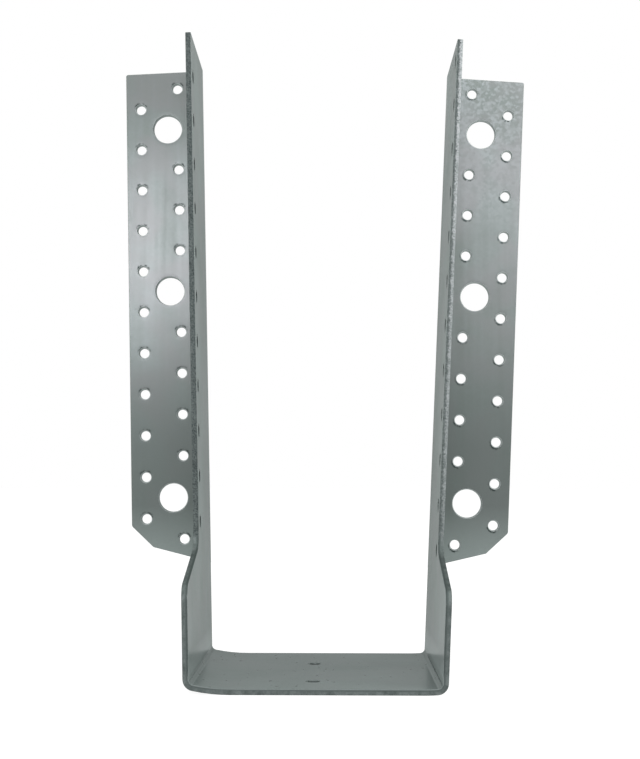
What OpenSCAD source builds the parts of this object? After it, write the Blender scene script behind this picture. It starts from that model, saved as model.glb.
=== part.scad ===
// Face-fixed joist hanger, cut and folded from one sheet of galvanised steel.
// The seat carries the end of the joist, the two sides hold it from left and
// right, and the two outward flanges are bolted or nailed to the header beam.
//
// Frame: the origin is the middle of the seat's underside, which is what the
// hanger stands on. X runs across the joist, Y along it towards the header,
// and Z up. All sizes are in millimetres.
//
// Each side is drawn in its own plane, from the line where its inner face
// would meet the top of the seat: u runs outwards, v runs up along the side.

/* [Joist space] */
// Clear width between the two sides, at the top of the seat
joist_w = 100.5; // [80:0.5:160]
// How far the front edge of the seat stands out from the header
seat_reach = 110; // [95:1:150]
// Height of the sides above the top of the seat
side_h = 280.5; // [180:0.5:400]

/* [Sheet] */
// Thickness of the sheet
sheet_t = 2.5; // [1.5:0.1:4]

/* [Folds] */
// Inner radius of the two folds beside the seat
seat_fold_r = 2.2; // [1:0.1:4]
// Inner radius of the two folds between side and flange
flange_fold_r = 2.5; // [1:0.1:4]
// How far the left side leans outwards, in degrees
left_lean = 1.4; // [0:0.1:4]
// How far the right side leans outwards, in degrees
right_lean = 2.5; // [0:0.1:4]
// How far the holes and lower edges sit off centre in the folds, towards the left
pattern_shift = 1.1; // [-2:0.1:2]
// How far the two cut ends sit off centre in the folds, towards the left
end_shift = 1.6; // [-2:0.1:2]
// How far the left end of the seat curls up before its fold, in degrees
left_curl = 11.5; // [0:0.5:15]
// How far the right end of the seat curls up before its fold, in degrees
right_curl = 4; // [0:0.5:15]
// Radius of that gentle curl, on the top of the seat
curl_r = 75; // [40:1:100]

/* [Sides] */
// How far the front edge of the upper part stands out from the header
strap_reach = 60; // [45:1:70]
// Height at which the deep lower part ends, measured at the front edge
shoulder_h = 38.8; // [30:0.1:60]
// Slope of the edge that joins the lower part to the upper one, in degrees
shoulder_slope = 15; // [5:1:30]
// Radius in the corner where that edge runs into the upper part
shoulder_fillet_r = 10; // [4:0.5:15]
// Radius of the corner between that edge and the front edge
shoulder_corner_r = 7; // [2:0.5:12]
// How far the top edge of a side rises towards the front, in degrees
side_top_slope = 0.5; // [0:0.1:3]
// How far the rear edges of seat and sides stop short of the folds to the flanges
rear_relief = 0.5; // [0.2:0.1:3]

/* [Flanges] */
// Width of a flange, from the inner face of the side to its outer edge
flange_w = 38; // [36:0.1:60]
// Height of a flange's lower edge where it meets the side
flange_foot = 41.3; // [35:0.1:70]
// Slope of that lower edge, in degrees
flange_slope = 15.7; // [0:0.1:25]
// How far a flange's top edge falls away towards its outer edge, in degrees
flange_top_slope = 1.4; // [0:0.1:3]
// Width of the cut-off lower outer corner
flange_chamfer = 10.2; // [4:0.1:12]
// Radius of the round where that cut meets the outer edge
flange_corner_r = 2; // [0.5:0.1:3]
// Radius of the round at a flange's upper outer corner
flange_top_corner_r = 1; // [0.5:0.1:3]

/* [Holes] */
// Spacing of the rows of holes along a side
row_pitch = 20; // [16:0.5:30]
// Distance of the first row from the top edge
top_gap = 7.9; // [6:0.1:12]
// Least distance of the last row from the lower edge of the flange
foot_gap = 6.5; // [6:0.1:12]
// Diameter of the nail holes
nail_d = 5; // [3:0.1:6]
// Diameter of the bolt holes
bolt_d = 14; // [8:0.5:14]
// Distance of the inner column of nail holes from the inner face of the side
inner_col = 12.9; // [11:0.1:14]
// Distance of the column of bolt holes from the inner face of the side
bolt_col = 17.9; // [16:0.1:19]
// Distance of the outer column of nail holes from the flange's outer edge
outer_gap = 7.1; // [5:0.1:8]
// Distance of the nail holes in the sides from the front edge of their strap
strap_gap = 7; // [5:0.1:12]
// Distance of the front nail hole in the seat from the front edge
seat_hole_front = 19.5; // [8:0.5:30]
// Spacing of the two nail holes in the seat
seat_hole_step = 49.5; // [20:0.5:60]

/* [Hidden] */
$fn = 96;
// How far cutting shapes reach past what they cut: the folded sides, and all else
spare = 5;
margin = 1;
// Width of the strip of the side that is drawn with each flange fold
fold_strip = 2;
flange_rise = tan(flange_slope);
flange_fall = tan(flange_top_slope);
shoulder_rise = tan(shoulder_slope);
side_top_rise = tan(side_top_slope);
fold_end = sheet_t + flange_fold_r;
rear_end = fold_end + rear_relief;
outer_col = flange_w - outer_gap;
last_row_h = flange_foot + inner_col * flange_rise + foot_gap;
rows = floor((side_h - top_gap - last_row_h) / row_pitch) + 1;
right_top = side_h - end_shift;
left_top = side_h + end_shift;
bolt_rows = [1, floor((rows - 1) / 2), rows - 2];
steel = [0.55, 0.58, 0.57];

// Height of one row above the seat, counted from the top; half rows lie between.
function row_h(k, shift) = side_h + shift - top_gap - k * row_pitch;
function is_bolt_row(k) = len([for (b = bolt_rows) if (b == k) b]) > 0;
function unit(a) = a / norm(a);
function direction(a) = [cos(a), sin(a)];

// A point of a side's own plane, seen along the joist.
function in_side(lean, u, v) =
  [joist_w / 2 + u * cos(lean) + v * sin(lean), v * cos(lean) - u * sin(lean)];

// How far up along the side the fold beside the seat has its centre.
function fold_z(curl) = curl_r * (1 - cos(curl)) + seat_fold_r * cos(curl);
function fold_v(lean, curl) = (fold_z(curl) - seat_fold_r * sin(lean)) / cos(lean);

// Where the flat of the seat ends and its curl begins.
function flat_end(lean, curl) =
  in_side(lean, -seat_fold_r, fold_v(lean, curl))[0] - (curl_r - seat_fold_r) * sin(curl);

// A slice of a disc, from one angle to another.
module slice(r, from, to) {
  reach = 2 * r;
  intersection() {
    circle(r);
    polygon([
      [0, 0],
      reach * direction(from),
      reach * direction((from + to) / 2),
      reach * direction(to)
    ]);
  }
}

// The piece between a sharp corner and its round, with a margin past both edges.
// A hair is added to the radius so that the round crosses each edge cleanly.
module corner_piece(p, along_a, along_b, r, hair = 0.002) {
  a = unit(along_a);
  b = unit(along_b);
  half = acos(a * b) / 2;
  inwards = unit(a + b);
  centre = p + inwards * r / sin(half);
  past_a = unit(p + a * r / tan(half) - centre);
  past_b = unit(p + b * r / tan(half) - centre);
  difference() {
    polygon([
      centre,
      centre + (r + margin) * past_a,
      p - inwards * margin / sin(half),
      centre + (r + margin) * past_b
    ]);
    translate(centre) circle(r + hair);
  }
}

// All that lies inside one surface of the sheet, seen along the joist:
// the inner surface when grow is 0, the outer one when it is the thickness.
module inside_half(lean, curl, top, grow) {
  x0 = flat_end(lean, curl);
  v0 = fold_v(lean, curl);
  polygon([
    [-spare, -grow],
    [x0, -grow],
    in_side(lean, -seat_fold_r, v0),
    in_side(lean, -seat_fold_r, top),
    [-spare, top]
  ]);
  if (curl > 0) translate([x0, curl_r]) slice(curl_r + grow, -90, curl - 90);
  translate([joist_w / 2, 0]) rotate(-lean) {
    translate([-seat_fold_r, v0]) circle(seat_fold_r + grow);
    translate([-2 * seat_fold_r, v0]) square([2 * seat_fold_r + grow, top - v0]);
  }
}

module inside(higher, grow) {
  inside_half(right_lean, right_curl, right_top + higher, grow);
  mirror([1, 0]) inside_half(left_lean, left_curl, left_top + higher, grow);
}

// Seat, curls, folds and both sides, seen along the joist; the sides are drawn
// too high here and are cut to length last.
module section() {
  difference() {
    inside(spare, sheet_t);
    inside(2 * spare, 0);
  }
}

// Puts what is drawn in a side's own plane in place.
module on_right() {
  translate([joist_w / 2, 0, 0]) rotate([0, right_lean, 0]) children();
}

module on_left() {
  mirror([1, 0, 0]) translate([joist_w / 2, 0, 0]) rotate([0, left_lean, 0]) children();
}

// What is cut away above and in front of the upper part of a side, seen from beside it.
module strap_notch(shift, top) {
  corner = [-strap_reach, shoulder_h + shift + (seat_reach - strap_reach) * shoulder_rise];
  front = [-seat_reach, shoulder_h + shift];
  over = 2 * spare;
  slope_in = direction(shoulder_slope);
  difference() {
    polygon([
      corner,
      [-strap_reach, top + (strap_reach - rear_end - spare) * side_top_rise],
      [-rear_end - spare, top],
      [spare, top],
      [spare, top + over],
      [-seat_reach - over, top + over],
      front - [over, over * shoulder_rise]
    ]);
    corner_piece(corner, [0, 1], -slope_in, shoulder_fillet_r);
  }
  corner_piece(front, [0, -1], slope_in, shoulder_corner_r);
}

// Outline of a flange with its fold, seen along the joist.
module flange_outline(shift, top) {
  foot = flange_foot + shift;
  inner_end = [flange_w - flange_chamfer, foot + (flange_w - flange_chamfer) * flange_rise];
  outer_end = inner_end + [flange_chamfer, flange_chamfer];
  top_end = [flange_w, top - (flange_w - fold_end) * flange_fall];
  difference() {
    polygon([
      [-margin, foot - margin * flange_rise],
      inner_end,
      outer_end,
      top_end,
      [fold_end, top],
      [-margin, top]
    ]);
    corner_piece(outer_end, [0, 1], [-1, -1], flange_corner_r);
    corner_piece(top_end, [0, -1], [-1, flange_fall], flange_top_corner_r);
  }
}

// The flange, the fold it hangs on and a strip of the side, full height before
// the outline is cut.
module flange(shift, top) {
  deep = rear_end + fold_strip;
  intersection() {
    linear_extrude(height = top + margin) difference() {
      translate([0, -deep]) square([flange_w, deep]);
      corner_piece([0, 0], [1, 0], [0, -1], fold_end, 0);
      difference() {
        translate([sheet_t, -sheet_t - deep]) square([flange_w, deep]);
        corner_piece([sheet_t, -sheet_t], [1, 0], [0, -1], flange_fold_r, 0);
      }
    }
    translate([0, margin, 0]) rotate([90, 0, 0])
      linear_extrude(height = deep + 2 * margin) flange_outline(shift, top);
  }
}

module flange_hole(u, v, d) {
  translate([u, margin, v]) rotate([90, 0, 0]) cylinder(d = d, h = sheet_t + 2 * margin);
}

module side_hole(v) {
  translate([-margin, -strap_reach + strap_gap, v]) rotate([0, 90, 0])
    cylinder(d = nail_d, h = sheet_t + 2 * margin);
}

module flange_holes(shift) {
  for (k = [0 : rows - 1]) {
    if (is_bolt_row(k)) flange_hole(bolt_col, row_h(k, shift), bolt_d);
    else flange_hole(inner_col, row_h(k, shift), nail_d);
  }
  for (k = [0 : rows - 2]) flange_hole(outer_col, row_h(k + 0.5, shift), nail_d);
}

// The nail holes of the two sides are half a row apart, so the nails miss each other.
module strap_holes(shift, offset) {
  for (k = [0 : rows - 1 - ceil(offset)]) side_hole(row_h(k + offset, shift));
}

// All that is cut out of one side and its flange, square to the plane it lies in.
module side_cuts(shift, top, offset) {
  translate([-spare, 0, 0]) rotate([90, 0, 90])
    linear_extrude(height = sheet_t + 2 * spare) strap_notch(shift, top);
  strap_holes(shift, offset);
  flange_holes(shift);
}

module seat_holes() {
  for (y = [seat_hole_front, seat_hole_front + seat_hole_step])
    translate([-pattern_shift, y - seat_reach, -sheet_t - margin])
      cylinder(d = nail_d, h = sheet_t + 2 * margin);
}

module hanger() {
  color(steel) translate([0, (seat_reach + rear_end) / 2, sheet_t]) difference() {
    union() {
      translate([0, -rear_end, 0]) rotate([90, 0, 0])
        linear_extrude(height = seat_reach - rear_end) section();
      on_right() flange(-pattern_shift, right_top);
      on_left() flange(pattern_shift, left_top);
    }
    on_right() side_cuts(-pattern_shift, right_top, 0);
    on_left() side_cuts(pattern_shift, left_top, 0.5);
    seat_holes();
  }
}

hanger();
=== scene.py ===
import math

import bmesh
import bpy
from mathutils import Matrix, Vector
from mathutils.bvhtree import BVHTree


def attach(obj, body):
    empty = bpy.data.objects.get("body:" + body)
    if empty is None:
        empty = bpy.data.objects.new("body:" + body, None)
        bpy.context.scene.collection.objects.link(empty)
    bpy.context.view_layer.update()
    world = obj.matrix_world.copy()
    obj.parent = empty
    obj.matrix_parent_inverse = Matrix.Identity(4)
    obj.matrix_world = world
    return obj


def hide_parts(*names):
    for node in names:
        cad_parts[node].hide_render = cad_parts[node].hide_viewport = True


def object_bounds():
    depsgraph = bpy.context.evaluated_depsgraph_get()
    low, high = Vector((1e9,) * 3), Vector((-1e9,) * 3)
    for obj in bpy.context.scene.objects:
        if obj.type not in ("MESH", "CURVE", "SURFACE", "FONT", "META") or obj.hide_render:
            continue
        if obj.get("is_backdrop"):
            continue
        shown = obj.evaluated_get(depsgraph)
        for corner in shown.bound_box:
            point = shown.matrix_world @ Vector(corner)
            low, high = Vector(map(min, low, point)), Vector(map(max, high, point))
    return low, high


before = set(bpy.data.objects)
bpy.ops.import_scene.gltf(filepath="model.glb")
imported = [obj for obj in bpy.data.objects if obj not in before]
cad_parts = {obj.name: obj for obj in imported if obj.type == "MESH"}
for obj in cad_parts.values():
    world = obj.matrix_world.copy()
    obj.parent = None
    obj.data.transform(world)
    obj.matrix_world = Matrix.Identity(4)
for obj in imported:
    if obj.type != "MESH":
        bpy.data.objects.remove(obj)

cad_low, cad_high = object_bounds()

# The view: an eye 58 cm in front of the middle of the hanger and 9 cm above its seat,
# looking slightly up between the two sides, so that the inner faces of both show.
# The place, the angles and the lens were fitted to the outlines in the photograph.
mm = 0.001
eye = Vector((6.668, -583.983, 88.74)) * mm
look_up = math.radians(-3.937)
turn = math.radians(0.549)
roll = math.radians(0.097)
film_w = 36.0
lens_mm = 62.869

level_view = Matrix(((1, 0, 0), (0, 0, -1), (0, 1, 0)))
view = Matrix.Rotation(roll, 3, "Z") @ Matrix.Rotation(look_up, 3, "X")
view = view @ Matrix.Rotation(turn, 3, "Y") @ level_view
axes = Matrix((view[0], -view[1], -view[2])).transposed().to_4x4()
camera_data = bpy.data.cameras.new("camera")
camera_data.sensor_fit = "AUTO"
camera_data.sensor_width = film_w
camera_data.lens = lens_mm
camera_data.clip_start = 0.01
camera_data.clip_end = 50.0
camera = bpy.data.objects.new("camera", camera_data)
camera.matrix_world = Matrix.Translation(eye) @ axes
bpy.context.scene.collection.objects.link(camera)
bpy.context.scene.camera = camera
bpy.context.scene.view_settings.view_transform = "Standard"

# The folded sheet: one blank of 2.5 mm coated steel, sheared to its outline, punched
# with its nail and bolt holes, and folded at the seat and at the flanges. Shear and punch
# leave the arrises a little round, and the holes in the flanges narrow to the back.
sheet_t = 2.5 * mm
nail_r, bolt_r = 2.5 * mm, 7 * mm
lip_w = 2 * mm
arris_w = 0.28 * mm
arris_steps = 3
weld = 0.01 * mm
flat_angle = math.radians(0.2)
sharp_angle = math.radians(30)

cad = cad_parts["hanger"]
sheet = bmesh.new()
sheet.from_mesh(cad.data)
bmesh.ops.remove_doubles(sheet, verts=sheet.verts, dist=weld)
bmesh.ops.dissolve_limit(sheet, angle_limit=flat_angle, verts=sheet.verts, edges=sheet.edges)


def is_sharp(edge):
    return len(edge.link_faces) == 2 and edge.calc_face_angle(0) > sharp_angle


def smooth_regions(faces):
    """Groups of faces that run on into each other without a sharp edge."""
    left = dict.fromkeys(faces)
    regions = []
    while left:
        region = [next(iter(left))]
        del left[region[0]]
        for face in region:
            for edge in face.edges:
                for other in edge.link_faces:
                    if other in left and not is_sharp(edge):
                        del left[other]
                        region.append(other)
        regions.append(region)
    return regions


def area_of(region):
    return sum(face.calc_area() for face in region)


def search_tree(faces):
    """A tree over copies of these faces, which finds the nearest point on them."""
    points = []
    polygons = []
    for face in faces:
        start = len(points)
        points.extend(vert.co.copy() for vert in face.verts)
        polygons.append(tuple(range(start, len(points))))
    return BVHTree.FromPolygons(points, polygons)


# The two largest regions are the sheet's skins. The inner one is the seat's top, the
# inner faces of the sides and the backs of the flanges, and the outer one is the rest.
regions = sorted(smooth_regions(sheet.faces), key=area_of, reverse=True)
inner_skin, outer_skin = regions[:2]
inner_tree = search_tree(inner_skin)

# Every other region is a cut. A small one of many facets is the round wall of a hole, and
# the rest is the sheared outline.
fewest_in_wall = 12
holes = []
outline = []
for region in regions[2:]:
    verts = {vert for face in region for vert in face.verts}
    middle = sum((vert.co for vert in verts), Vector()) / len(verts)
    reach = max((vert.co - middle).length for vert in verts)
    if reach < bolt_r + sheet_t and len(region) > fewest_in_wall:
        holes.append((middle, bolt_r if reach > bolt_r else nail_r))
    else:
        outline.extend(region)


def nearest_hole(point):
    """The middle and the radius of the hole whose rim is nearest to a point."""
    return min(holes, key=lambda hole: (hole[0] - point).length - hole[1])


# The skins part from the outline and get a ring round each hole, then the cuts close up
# again, so that the outline keeps a clean arris. Slot 0 is the zinc, slot 1 a cut edge.
on_zinc, on_cut = 0, 1
for face in sheet.faces:
    face.material_index = on_cut
outline_faces = set(outline)
skin_faces = {*inner_skin, *outer_skin}
parted = [
    edge for edge in sheet.edges
    if is_sharp(edge) and any(face in outline_faces for face in edge.link_faces)
    and any(face in skin_faces for face in edge.link_faces)
]
bmesh.ops.split_edges(sheet, edges=parted)
for skin in (inner_skin, outer_skin):
    for face in skin:
        face.material_index = on_zinc
    bmesh.ops.inset_region(sheet, faces=skin, thickness=lip_w, use_boundary=False, use_even_offset=True)
bmesh.ops.remove_doubles(sheet, verts=sheet.verts, dist=weld / 2)

sheet.normal_update()
bevelled = bmesh.ops.bevel(
    sheet,
    geom=[edge for edge in sheet.edges if is_sharp(edge)],
    offset=arris_w,
    segments=arris_steps,
    profile=0.5,
    affect="EDGES",
    clamp_overlap=False,
    material=-1,
)
sheet.normal_update()

# The zinc runs on over the arris of the faces that show in the photograph, which are the
# inner skin of the seat and the sides and the front of the flanges, but not over a rim.
drawn_w = 0.7 * arris_w
header_y = cad_high[1]
flange_y = header_y - 1.5 * sheet_t
for face in bevelled["faces"]:
    middle = face.calc_center_median()
    hole, hole_r = nearest_hole(middle)
    in_rim = (middle - hole).length - hole_r < sheet_t
    gap = inner_tree.find_nearest(middle)[3]
    if middle.y > flange_y:
        gap = sheet_t - gap
    face.material_index = on_zinc if gap < drawn_w and not in_rim else on_cut

# What the materials read of the sheet: the depth from the inner skin, the painted shade round a
# punched rim, the painted light on the wall of a flange hole, what is above the foot of the straps,
# with -1 on the left and 1 on the right, and the pressed inside of a fold of the seat, for painted shade.
depth = sheet.verts.layers.float.new("depth")
painted_rim_shade = sheet.verts.layers.float.new("painted_rim_shade")
painted_wall_light = sheet.verts.layers.float.new("painted_wall_light")
strap_edge = sheet.verts.layers.float.new("strap_edge")
painted_fold_shade = sheet.verts.layers.float.new("painted_fold_shade")

close = 0.5 * mm
rim_w = {bolt_r: close, nail_r: close + sheet_t / 6}
wall_shine = {bolt_r: 0.6, nail_r: 0.75}
taper = 0.27 * mm
strap_foot = 60 * mm
bolt_rim, bolt_top = 0.2, 0.3
left_rim, left_top, left_ears = 0.32, 0.25, 1.3
right_rim, right_low, right_low_left = 0.34, 0.35, 0.45
# Painted shade lies round each punched rim: more above it on the bolt holes and on the left half, more
# below it and to the lower left on the right half.
for vert in sheet.verts:
    place = vert.co
    vert[depth] = min(inner_tree.find_nearest(place)[3] / sheet_t, 1)
    hole, hole_r = nearest_hole(place)
    from_hole = place - hole
    if from_hole.length - hole_r < rim_w[hole_r]:
        out, _, up = from_hole.normalized()
        if hole_r == bolt_r:
            vert[painted_rim_shade] = bolt_rim + bolt_top * max(up, 0)
        elif place.x < 0:
            vert[painted_rim_shade] = left_rim + (left_top + left_ears * abs(out)) * max(up, 0)
        else:
            vert[painted_rim_shade] = right_rim + right_low * max(-up, 0) + right_low_left * max(-up - out, 0)
        # The walls of the flange holes get painted light, and narrow to the back.
        if abs(hole.y - header_y) < sheet_t:
            vert[painted_wall_light] = wall_shine[hole_r]
            across = Vector((from_hole.x, 0, from_hole.z))
            vert.co -= across.normalized() * taper * (1 - vert[depth])
    vert[strap_edge] = math.copysign(1, place.x) if place.z > strap_foot else 0

# The pressed inside of the folds of the seat, which gets painted shade.
fold_out, fold_up = 0.3, 0.1
for vert in sheet.verts:
    around = [face.normal for face in vert.link_faces if face.material_index == on_zinc]
    if around and all(abs(normal.x) > fold_out and normal.z > fold_up for normal in around):
        vert[painted_fold_shade] = 1

# A map in metres, laid so that its second direction is the one the sheet was rolled in.
rolled = sheet.loops.layers.uv.new("rolled")
facing = 0.7
for face in sheet.faces:
    across_seat = abs(face.normal.z) > facing
    on_flange = abs(face.normal.y) > facing
    for loop in face.loops:
        place = loop.vert.co
        if across_seat:
            loop[rolled].uv = (place.y, place.x)
        elif on_flange:
            loop[rolled].uv = (place.x, place.z)
        else:
            loop[rolled].uv = (place.y, place.z)

crease_angle = math.radians(40)
hanger_mesh = bpy.data.meshes.new("hanger_sheet")
sheet.to_mesh(hanger_mesh)
sheet.free()
hanger_mesh.shade_smooth()
hanger_mesh.set_sharp_from_angle(angle=crease_angle)
hanger = bpy.data.objects.new("hanger_sheet", hanger_mesh)
bpy.context.scene.collection.objects.link(hanger)
even_shade = hanger.modifiers.new("even_shade", "WEIGHTED_NORMAL")
even_shade.mode = "FACE_AREA"
even_shade.keep_sharp = True


def linear(shade):
    """The linear colour of an sRGB hex value."""
    parts = [int(shade[i:i + 2], 16) / 255 for i in (1, 3, 5)]
    parts = [p / 12.92 if p <= 0.04045 else ((p + 0.055) / 1.055) ** 2.4 for p in parts]
    return (*parts, 1)


def add_node(tree, kind, sockets=None, **settings):
    """Adds a node, sets it, and fills its sockets with values or with links."""
    made = tree.nodes.new(kind)
    for name, value in settings.items():
        setattr(made, name, value)
    for name, value in (sockets or {}).items():
        if isinstance(value, bpy.types.NodeSocket):
            tree.links.new(value, made.inputs[name])
        else:
            made.inputs[name].default_value = value
    return made


def empty_material(name):
    made = bpy.data.materials.new(name)
    made.use_nodes = True
    made.node_tree.nodes.clear()
    return made, made.node_tree


# Galvanised sheet: mill steel drawn through molten zinc and rolled, a dull grey-green
# metal with cloudy patches, fine rolling streaks and faint frozen crystals, which show
# best at the top of the right flange. Its skin is part metal, part matt oxide.
zinc, tree = empty_material("galvanised_sheet_steel")
place = add_node(tree, "ShaderNodeTexCoord").outputs["Object"]
flat = add_node(tree, "ShaderNodeUVMap", uv_map="rolled").outputs["UV"]

cloud_w, drift_w = 38 * mm, 24 * mm
streak_w, streak_l = 3.2 * mm, 120 * mm
speck_w, speck_l = 2.2 * mm, 5.5 * mm
crystal_w, fleck_w = 1.25 * mm, 0.9 * mm
wander_w = 0.8 * crystal_w

cloud = add_node(
    tree, "ShaderNodeTexNoise", {"Vector": place, "Scale": 1 / cloud_w, "Detail": 3.0, "Roughness": 0.55}
).outputs[0]
drift = add_node(
    tree, "ShaderNodeTexNoise", {"Vector": place, "Scale": 1 / drift_w, "Detail": 2.0, "Distortion": 0.4}
).outputs[0]
fleck = add_node(
    tree, "ShaderNodeTexNoise", {"Vector": place, "Scale": 1 / fleck_w, "Detail": 2.0}
).outputs[0]
along = add_node(
    tree, "ShaderNodeMapping", {"Vector": flat, "Scale": (1 / streak_w, 1 / streak_l, 1)}
).outputs[0]
streak = add_node(tree, "ShaderNodeTexNoise", {"Vector": along, "Scale": 1.0, "Detail": 1.0}).outputs[0]
speck = add_node(
    tree, "ShaderNodeMapping", {"Vector": place, "Scale": (1 / speck_w, 1 / speck_l, 1 / speck_l)}
).outputs[0]
speck = add_node(tree, "ShaderNodeTexNoise", {"Vector": speck, "Scale": 1.0, "Detail": 1.0}).outputs[0]

wander = add_node(
    tree, "ShaderNodeTexNoise", {"Vector": place, "Scale": 1 / crystal_w, "Detail": 2.0}
).outputs["Color"]
wander = add_node(
    tree, "ShaderNodeVectorMath", {0: wander, "Scale": wander_w}, operation="SCALE"
).outputs[0]
crystal = add_node(tree, "ShaderNodeVectorMath", {0: place, 1: wander}, operation="ADD").outputs[0]
crystal = add_node(
    tree,
    "ShaderNodeTexVoronoi",
    {"Vector": crystal, "Scale": 1 / crystal_w, "Smoothness": 0.6},
    feature="SMOOTH_F1",
).outputs["Color"]
crystal = add_node(tree, "ShaderNodeSeparateColor", {"Color": crystal}).outputs[0]

# Where the finish, the painted shade and the painted light change: the axis, and the two
# places in mm between which each turns from none to all.
where = add_node(tree, "ShaderNodeSeparateXYZ", {0: place}).outputs
from_middle = add_node(tree, "ShaderNodeMath", {0: where["X"]}, operation="ABSOLUTE").outputs[0]
zones = {
    "right": (where["X"], 0, 60),
    "top": (where["Z"], 205, 262),
    "header": (where["Y"], 50, 54),
    "flange": (where["Y"], 49, 51.5),
    "flange_low_shade": (where["Z"], 150, 100),
    "flange_foot": (where["Z"], 72, 48),
    "side": (from_middle, 49, 51),
    "side_foot_light": (where["Z"], 16, 8),
    "seat": (where["Z"], 12, 6),
}
zone = {}
for name, (measure, none_at, all_at) in zones.items():
    zone[name] = add_node(
        tree, "ShaderNodeMapRange", {"Value": measure, "From Min": none_at * mm, "From Max": all_at * mm}
    ).outputs[0]

# The tone between the darker and the lighter zinc is a sum of clouds, streaks, which are
# stronger on the flanges, and crystals, which stand out more towards the top right.
cloud_part, crystal_part, mottle_part = 0.45, 0.05, 0.34
tone_low, tone_high = 0.12, 0.38
streak_part = add_node(
    tree, "ShaderNodeMapRange", {"Value": zone["header"], "To Min": 0.12, "To Max": 0.25}
).outputs[0]
streak = add_node(tree, "ShaderNodeMath", {0: streak, 1: 0.5}, operation="SUBTRACT").outputs[0]
mottle = add_node(tree, "ShaderNodeMath", {0: crystal, 1: 0.5}, operation="SUBTRACT").outputs[0]
for area in ("right", "top"):
    mottle = add_node(tree, "ShaderNodeMath", {0: mottle, 1: zone[area]}, operation="MULTIPLY").outputs[0]
tone = 0.0
for pattern, part in (
    (cloud, cloud_part), (streak, streak_part), (crystal, crystal_part), (mottle, mottle_part)
):
    tone = add_node(
        tree, "ShaderNodeMath", {0: pattern, 1: part, 2: tone}, operation="MULTIPLY_ADD"
    ).outputs[0]
tone = add_node(
    tree, "ShaderNodeMapRange", {"Value": tone, "From Min": tone_low, "From Max": tone_high}
).outputs[0]
shade = add_node(
    tree, "ShaderNodeMix", {0: tone, 6: linear("#626b67"), 7: linear("#707977")}, data_type="RGBA"
).outputs[2]

# Where each other tone lies over it. The faces that the photograph hides are the outer
# skin of the seat and the sides and the back of the flanges.
drift = add_node(
    tree, "ShaderNodeMapRange", {"Value": drift, "From Min": 0.4, "From Max": 0.6}
).outputs[0]
# Painted shade on the flanges, darker towards their foot.
flange_low_shade = add_node(
    tree, "ShaderNodeMath", {0: zone["header"], 1: zone["flange_low_shade"]}, operation="MULTIPLY"
).outputs[0]
# Painted light at the foot of the flanges, a painted reflection of the pale floor.
flange_foot = add_node(
    tree, "ShaderNodeMath", {0: zone["header"], 1: zone["flange_foot"]}, operation="MULTIPLY"
).outputs[0]
outer = add_node(tree, "ShaderNodeAttribute", attribute_name="depth").outputs["Fac"]
# Painted light at the foot of the inner faces of the sides, lifting the shade by the seat.
side_foot_light = add_node(
    tree, "ShaderNodeMath", {0: zone["side_foot_light"], 1: zone["side"]}, operation="MULTIPLY"
).outputs[0]
side_foot_light = add_node(
    tree, "ShaderNodeMath", {0: side_foot_light, 1: outer}, operation="SUBTRACT", use_clamp=True
).outputs[0]
# Painted light on the hidden faces, a lighter copy of the zinc.
hidden_side_light = add_node(tree, "ShaderNodeMath", {0: outer, 1: zone["flange"]}, operation="SUBTRACT").outputs[0]
hidden_side_light = add_node(tree, "ShaderNodeMath", {0: hidden_side_light}, operation="ABSOLUTE").outputs[0]
# Painted shade in the pressed inside of the folds of the seat.
creased_shade = add_node(tree, "ShaderNodeAttribute", attribute_name="painted_fold_shade").outputs["Fac"]
# Painted shade on the seat between the sides.
seat_shade = add_node(
    tree, "ShaderNodeMath", {0: zone["seat"], 1: zone["side"]}, operation="SUBTRACT", use_clamp=True
).outputs[0]
speck = add_node(
    tree, "ShaderNodeMapRange", {"Value": speck, "From Min": 0.7, "From Max": 0.76}
).outputs[0]
speck = add_node(tree, "ShaderNodeMath", {0: speck, 1: zone["seat"]}, operation="MULTIPLY").outputs[0]
# Painted shade round the punched rims, broken up by flecks.
rim_near = add_node(tree, "ShaderNodeAttribute", attribute_name="painted_rim_shade").outputs["Fac"]
broken = add_node(
    tree, "ShaderNodeMapRange", {"Value": fleck, "From Min": 0.4, "From Max": 0.55, "To Min": 0.4}
).outputs[0]
rim_shade = add_node(tree, "ShaderNodeMath", {0: rim_near, 1: broken}, operation="MULTIPLY").outputs[0]
rim_shade = add_node(tree, "ShaderNodeMapRange", {"Value": rim_shade, "From Min": 0.36, "From Max": 0.8}).outputs[0]
for amount, most, colour in (
    (drift, 0.6, "#6d7170"),
    (flange_low_shade, 0.6, "#565e5b"),
    (flange_foot, 1, "#7a8481"),
    (side_foot_light, 1, "#8f9896"),
    (hidden_side_light, 0.3, "#98a09e"),
    (creased_shade, 0.75, "#3c4442"),
    (seat_shade, 0.6, "#58605e"),
    (speck, 0.7, "#2e3634"),
    (rim_shade, 1, "#2c3432"),
):
    amount = add_node(tree, "ShaderNodeMath", {0: amount, 1: most}, operation="MULTIPLY").outputs[0]
    shade = add_node(
        tree, "ShaderNodeMix", {0: amount, 6: shade, 7: linear(colour)}, data_type="RGBA"
    ).outputs[2]

gloss = add_node(tree, "ShaderNodeMapRange", {"Value": tone, "To Min": 0.26, "To Max": 0.2}).outputs[0]
relief = add_node(
    tree, "ShaderNodeMath", {0: mottle, 1: 1.6, 2: fleck}, operation="MULTIPLY_ADD"
).outputs[0]
bump = add_node(
    tree, "ShaderNodeBump", {"Strength": 0.2, "Distance": 0.01 * mm, "Height": relief}
).outputs[0]
skin = add_node(
    tree,
    "ShaderNodeBsdfPrincipled",
    {
        "Base Color": shade,
        "Metallic": 0.4,
        "Roughness": gloss,
        "Specular IOR Level": 0.0,
        "Specular Tint": linear("#dee4e3"),
        "Normal": bump,
    },
)
add_node(tree, "ShaderNodeOutputMaterial", {"Surface": skin.outputs[0]})

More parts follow.
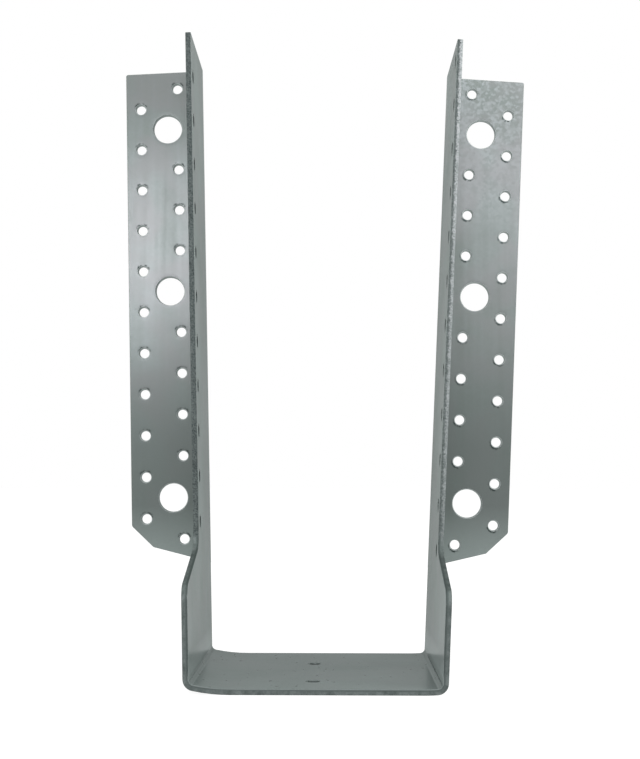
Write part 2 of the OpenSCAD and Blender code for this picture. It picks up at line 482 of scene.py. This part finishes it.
# Sheared steel edge: the blade leaves a burnished band, then a torn, grainy one, and
# drags a thin film of zinc over both, so the edge is darker and duller than the sheet.
# The torn grain is drawn coarser than the real one, so that it shows.
edge, tree = empty_material("sheared_steel_edge")
place = add_node(tree, "ShaderNodeTexCoord").outputs["Object"]
high = add_node(tree, "ShaderNodeSeparateXYZ", {0: place}).outputs["Z"]
deep = add_node(tree, "ShaderNodeAttribute", attribute_name="depth").outputs["Fac"]
hole_wall_light = add_node(tree, "ShaderNodeAttribute", attribute_name="painted_wall_light").outputs["Fac"]
strap = add_node(tree, "ShaderNodeAttribute", attribute_name="strap_edge").outputs["Fac"]
on_strap = add_node(tree, "ShaderNodeMath", {0: strap}, operation="ABSOLUTE").outputs[0]

blotch_w, tear_w, grain_w = 4 * mm, 0.8 * mm, 0.5 * mm
blotch = add_node(
    tree, "ShaderNodeTexNoise", {"Vector": place, "Scale": 1 / blotch_w, "Detail": 3.0}
).outputs[0]
tear = add_node(
    tree, "ShaderNodeTexNoise", {"Vector": place, "Scale": 1 / tear_w, "Detail": 1.0}
).outputs[0]
grain = add_node(
    tree, "ShaderNodeTexNoise", {"Vector": place, "Scale": 1 / grain_w, "Detail": 3.0, "Roughness": 0.6}
).outputs[0]

# Blotches lead below the foot of the straps, and grain leads above it.
cloudy = add_node(
    tree, "ShaderNodeMapRange", {"Value": blotch, "From Min": 0.35, "From Max": 0.65}
).outputs[0]
speckled = add_node(
    tree, "ShaderNodeMapRange", {"Value": grain, "From Min": 0.38, "From Max": 0.62}
).outputs[0]
grain_low, grain_high = 0.25, 0.75
grain_part = add_node(
    tree, "ShaderNodeMapRange", {"Value": on_strap, "To Min": grain_low, "To Max": grain_high}
).outputs[0]
dull = add_node(
    tree, "ShaderNodeMix", {0: grain_part, 2: cloudy, 3: speckled}, data_type="FLOAT"
).outputs[0]
plain_edge, dark_edge, burnish_highlight_edge = (
    add_node(
        tree, "ShaderNodeMix", {0: dull, 6: linear(dark), 7: linear(light)}, data_type="RGBA"
    ).outputs[2]
    for dark, light in (("#434b49", "#656d6b"), ("#293130", "#59615f"), ("#717a78", "#adb2b2"))
)

# Above it the left edges are darker, and the right ones have a bright band beside the outer
# skin, with a torn border, a burnished band with a painted highlight which grows towards the top.
left_strap_dark = add_node(
    tree, "ShaderNodeMath", {0: strap, 1: -0.9}, operation="MULTIPLY", use_clamp=True
).outputs[0]
torn = add_node(tree, "ShaderNodeMath", {0: tear, 1: 0.5}, operation="SUBTRACT").outputs[0]
torn = add_node(tree, "ShaderNodeMath", {0: torn, 1: 0.8, 2: deep}, operation="MULTIPLY_ADD").outputs[0]
outer_band = add_node(
    tree, "ShaderNodeMapRange", {"Value": torn, "From Min": 0.42, "From Max": 0.58}
).outputs[0]
burnish_highlight = add_node(
    tree, "ShaderNodeMath", {0: outer_band, 1: strap}, operation="MULTIPLY", use_clamp=True
).outputs[0]
strap_top = 280 * mm
highlight_up = add_node(
    tree,
    "ShaderNodeMapRange",
    {"Value": high, "From Min": strap_foot, "From Max": strap_top, "To Min": 0.3},
).outputs[0]
burnish_highlight = add_node(tree, "ShaderNodeMath", {0: burnish_highlight, 1: highlight_up}, operation="MULTIPLY").outputs[0]

# A dark line runs along the inner skin, broken by the tear above the foot of the straps.
ragged = add_node(
    tree, "ShaderNodeMath", {0: blotch, 1: -0.8, 2: deep}, operation="MULTIPLY_ADD"
).outputs[0]
inner_line = add_node(
    tree,
    "ShaderNodeMapRange",
    {"Value": ragged, "From Min": -0.22, "From Max": 0.08, "To Min": 0.65, "To Max": 0.0},
).outputs[0]
patchy = add_node(
    tree,
    "ShaderNodeMapRange",
    {"Value": tear, "From Min": 0.4, "From Max": 0.6, "To Min": 0.2, "To Max": 0.65},
).outputs[0]
spared = add_node(
    tree, "ShaderNodeMath", {0: on_strap, 1: patchy, 2: hole_wall_light}, operation="MULTIPLY_ADD"
).outputs[0]
inner_line = add_node(
    tree, "ShaderNodeMath", {0: inner_line, 1: spared}, operation="SUBTRACT", use_clamp=True
).outputs[0]

# On the cut edges of the seat the zinc is drawn down from its top as a thin lighter band.
seat_low, seat_high = 6 * mm, 9 * mm
seat_edge = add_node(
    tree, "ShaderNodeMapRange", {"Value": high, "From Min": seat_high, "From Max": seat_low}
).outputs[0]
drawn_zinc = add_node(
    tree, "ShaderNodeMapRange", {"Value": deep, "From Min": 0.24, "From Max": 0.16}
).outputs[0]
drawn_zinc = add_node(
    tree, "ShaderNodeMath", {0: drawn_zinc, 1: seat_edge}, operation="MULTIPLY"
).outputs[0]
drawn_zinc = add_node(
    tree, "ShaderNodeMath", {0: drawn_zinc, 1: hole_wall_light}, operation="SUBTRACT", use_clamp=True
).outputs[0]

shade = plain_edge
for amount, colour in (
    (left_strap_dark, dark_edge),
    # the burnished band on the right, with its painted highlight
    (burnish_highlight, burnish_highlight_edge),
    (inner_line, linear("#2f3836")),
    # painted light on the walls of the flange holes
    (hole_wall_light, linear("#a4acaa")),
    (drawn_zinc, linear("#656d6b")),
):
    shade = add_node(
        tree, "ShaderNodeMix", {0: amount, 6: shade, 7: colour}, data_type="RGBA"
    ).outputs[2]
bump = add_node(
    tree, "ShaderNodeBump", {"Strength": 0.4, "Distance": 0.04 * mm, "Height": grain}
).outputs[0]
cut_face = add_node(
    tree,
    "ShaderNodeBsdfPrincipled",
    {
        "Base Color": shade,
        "Metallic": 0.8,
        "Roughness": 0.58,
        "Specular Tint": linear("#c4cac8"),
        "Normal": bump,
    },
)
add_node(tree, "ShaderNodeOutputMaterial", {"Surface": cut_face.outputs[0]})

hanger_mesh.materials.append(zinc)
hanger_mesh.materials.append(edge)
cad.data.materials.clear()
cad.data.materials.append(zinc)
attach(hanger, "root")
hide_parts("hanger")

# The floor: a pale studio table, wide enough to fill every view. It is drawn nearly
# white to the eye, and still keeps a soft shadow of the hanger.
floor_r = 6.0
ground = bmesh.new()
bmesh.ops.create_circle(ground, cap_ends=True, segments=96, radius=floor_r)
floor_mesh = bpy.data.meshes.new("studio_floor")
ground.to_mesh(floor_mesh)
ground.free()
floor = bpy.data.objects.new("studio_floor", floor_mesh)
bpy.context.scene.collection.objects.link(floor)


def seen_directly(tree):
    """1 on the rays that a viewer follows, and 0 on those that only carry light."""
    paths = add_node(tree, "ShaderNodeLightPath").outputs
    seen = paths["Is Camera Ray"]
    for kind in ("Is Glossy Ray", "Is Transmission Ray"):
        seen = add_node(tree, "ShaderNodeMath", {0: seen, 1: paths[kind]}, operation="MAXIMUM").outputs[0]
    return seen


glow_share = 0.8
paper, tree = empty_material("white_studio_paper")
glow_part = add_node(
    tree, "ShaderNodeMath", {0: seen_directly(tree), 1: glow_share}, operation="MULTIPLY"
).outputs[0]
dull_white = add_node(tree, "ShaderNodeBsdfDiffuse", {"Color": linear("#e4e4e4")}).outputs[0]
glow = add_node(tree, "ShaderNodeEmission", {"Color": (1, 1, 1, 1), "Strength": 1.13}).outputs[0]
paper_look = add_node(tree, "ShaderNodeMixShader", {0: glow_part, 1: dull_white, 2: glow}).outputs[0]
add_node(tree, "ShaderNodeOutputMaterial", {"Surface": paper_look})
floor_mesh.materials.append(paper)
floor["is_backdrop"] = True

# The light: an even white studio, which is full white to the eye, a wide panel high
# above, one on each side, and two windows behind the eye, one mirrored in each flange.
light_level, eye_level = 0.85, 1.0
world = bpy.data.worlds.new("white_studio")
bpy.context.scene.world = world
world.use_nodes = True
tree = world.node_tree
tree.nodes.clear()
level = add_node(
    tree, "ShaderNodeMapRange", {"Value": seen_directly(tree), "To Min": light_level, "To Max": eye_level}
).outputs[0]
sky = add_node(tree, "ShaderNodeBackground", {"Color": (1, 1, 1, 1), "Strength": level}).outputs[0]
add_node(tree, "ShaderNodeOutputWorld", {"Surface": sky})


def soft_panel(name, place, aim, width, height, watts, tilt=0, tint=(1, 1, 1)):
    """A large soft lamp at a place, turned towards a point."""
    lamp = bpy.data.lights.new(name, "AREA")
    lamp.color = tint
    lamp.shape = "RECTANGLE"
    lamp.size = width
    lamp.size_y = height
    lamp.energy = watts
    shown = bpy.data.objects.new(name, lamp)
    direction = Vector(aim) - Vector(place)
    aimed = direction.to_track_quat("-Z", "Y").to_matrix().to_4x4()
    aimed = aimed @ Matrix.Rotation(math.radians(tilt), 4, "Z")
    shown.matrix_world = Matrix.Translation(place) @ aimed
    shown.visible_camera = False
    bpy.context.scene.collection.objects.link(shown)


hanger_middle = (0, 0, 0.14)
window_tilt = 15
daylight = (1, 0.89, 0.97)
soft_panel("top_panel", (0.1, -0.3, 1.7), hanger_middle, 1.6, 1.2, 12)
soft_panel(
    "left_window", (-0.30, -1.5, 0.46), (-0.075, 0.055, 0.2), 0.5, 0.24, 3.5, window_tilt, daylight
)
soft_panel(
    "right_window", (0.30, -1.5, 0.81), (0.085, 0.055, 0.24), 0.5, 0.9, 6.2, window_tilt, daylight
)
soft_panel("left_panel", (-1.6, -0.5, 0.7), hanger_middle, 0.9, 0.9, 15)
soft_panel("right_panel", (1.6, -0.5, 0.7), hanger_middle, 0.9, 0.9, 15)

low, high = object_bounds()
